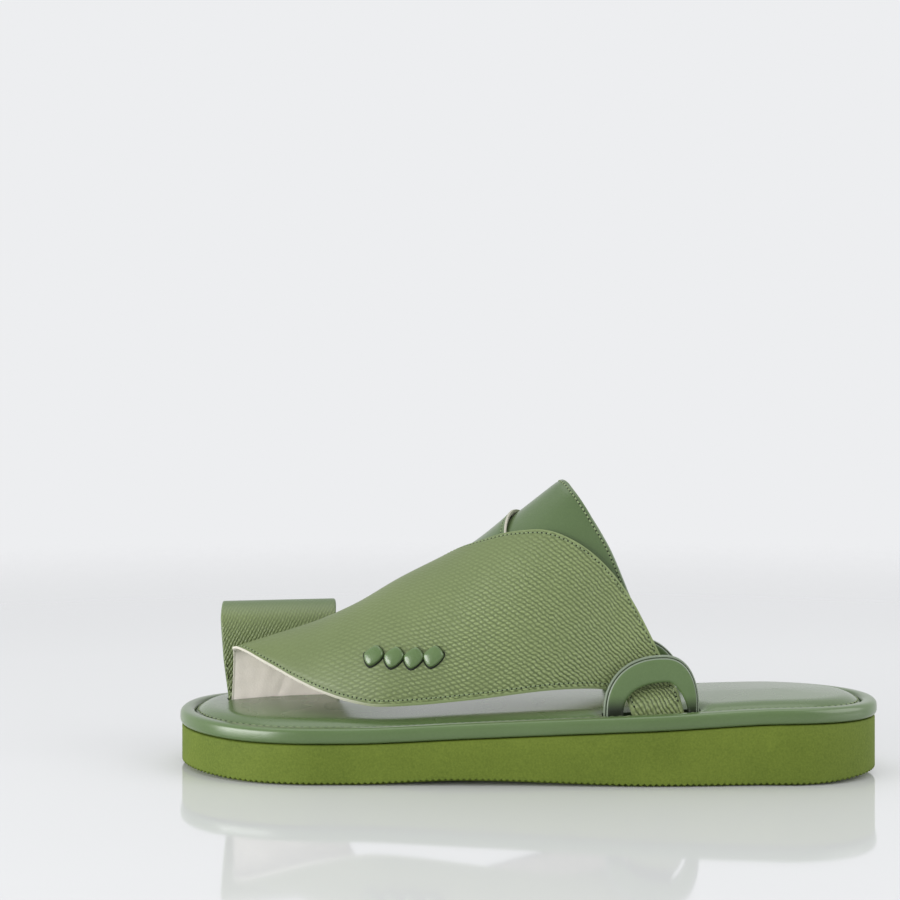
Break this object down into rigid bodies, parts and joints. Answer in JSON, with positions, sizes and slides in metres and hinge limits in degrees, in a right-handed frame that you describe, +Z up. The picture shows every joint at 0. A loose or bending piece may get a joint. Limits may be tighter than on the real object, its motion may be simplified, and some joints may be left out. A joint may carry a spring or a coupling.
{
  "type": "toe-loop sandal",
  "caption": "Leather slip-on sandal with a big-toe loop, a wide grained wing and straps crossed over the instep, on a padded footbed and a thick foam sole.",
  "frame": {"origin": "on the floor plane, at the middle of the sandal's length and breadth", "axes": "+X to the toe, +Y to the outer side of the foot, +Z up"},
  "size_m": [0.2916, 0.099, 0.12],
  "materials": {
    "foam_sole": "matte moulded foam",
    "smooth_leather": "smooth, half gloss",
    "grained_leather": "fine scale grain, satin"
  },
  "bodies": {
    "root": {"outsole": "foam_sole", "footbed": "smooth_leather", "footbed_rim": "smooth_leather", "upper": "grained_leather", "toe_loop": "smooth_leather", "side_loop_outer": "smooth_leather", "side_loop_inner": "smooth_leather", "thong_diamond_1": "smooth_leather", "thong_diamond_2": "smooth_leather", "thong_diamond_3": "smooth_leather", "thong_diamond_4": "smooth_leather"}
  },
  "joints": []
}
